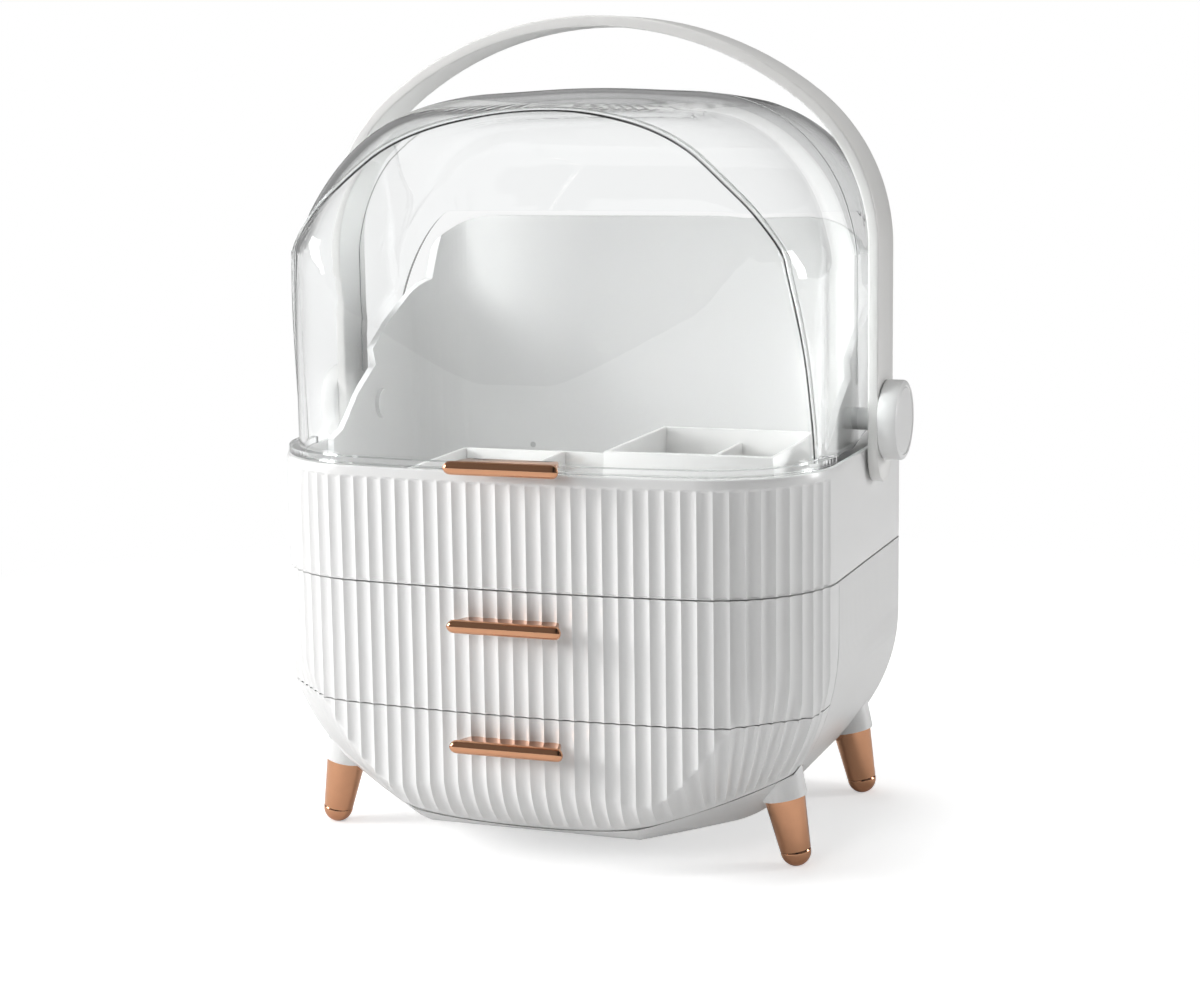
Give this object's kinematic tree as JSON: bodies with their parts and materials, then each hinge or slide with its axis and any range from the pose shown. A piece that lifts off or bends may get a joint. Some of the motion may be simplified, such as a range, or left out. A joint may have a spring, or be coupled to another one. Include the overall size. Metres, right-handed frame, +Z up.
{
  "type": "makeup organizer",
  "caption": "Dustproof vanity organizer: round-bottomed fluted casing on splayed feet, drawers below an open tray, tip-up clear lid and a carrying handle.",
  "frame": {"origin": "on the ground, under the middle of the box: x = 0 is the mirror plane, z = 0 is the feet's lowest point and y = 0 is midway between the pulls and the back", "axes": "+Z up, the front with its pulls faces -Y, +X to the right as seen from the front"},
  "size_m": [0.286, 0.197, 0.37],
  "materials": {
    "white_plastic": "smooth, softly glossy white",
    "clear_plastic": "clear polished plastic",
    "rose_gold": "polished rose gold",
    "screw_steel": "satin"
  },
  "bodies": {
    "casing": {"lower_casing": "white_plastic", "base_pan": "white_plastic", "mid_shelf": "white_plastic", "drawer_runners": "white_plastic", "top_tray": "white_plastic", "tray_divider_long": "white_plastic", "tray_divider_cross": "white_plastic", "tray_divider_short": "white_plastic", "rear_shell": "white_plastic", "shell_screws": "screw_steel", "pivot_pin_right": "white_plastic", "pivot_pin_left": "white_plastic", "leg_collars": "white_plastic", "leg_front_right": "rose_gold", "leg_front_left": "rose_gold", "leg_rear_right": "rose_gold", "leg_rear_left": "rose_gold", "leg_tips": "rose_gold"},
    "insert": {"compartment_insert": "white_plastic", "insert_divider": "white_plastic"},
    "drawer_upper": {"drawer_upper_front": "white_plastic", "drawer_upper_box": "white_plastic", "drawer_upper_pull": "rose_gold"},
    "drawer_lower": {"drawer_lower_front": "white_plastic", "drawer_lower_box": "white_plastic", "drawer_lower_pull": "rose_gold"},
    "lid": {"lid_dome": "clear_plastic", "lid_sill": "clear_plastic", "lid_pull": "rose_gold"},
    "handle": {"handle_bail": "white_plastic", "handle_disc_right": "white_plastic", "handle_disc_left": "white_plastic"}
  },
  "joints": [
    {"name": "drawer_upper_slide", "type": "slide", "parent": "casing", "child": "drawer_upper", "axis": [0, -1, 0], "range_m": [0, 0.115]},
    {"name": "drawer_lower_slide", "type": "slide", "parent": "casing", "child": "drawer_lower", "axis": [0, -1, 0], "range_m": [0, 0.115]},
    {"name": "lid_hinge", "type": "hinge", "parent": "casing", "child": "lid", "pos_m": [0, 0.033, 0.189], "axis": [-1, 0, 0], "range_deg": [0, 55]},
    {"name": "handle_hinge", "type": "hinge", "parent": "casing", "child": "handle", "pos_m": [0, 0.033, 0.189], "axis": [-1, 0, 0], "range_deg": [-88, 88]},
    {"name": "insert_lift", "type": "slide", "parent": "casing", "child": "insert", "axis": [0, 0, 1], "range_m": [0, 0.06]}
  ]
}
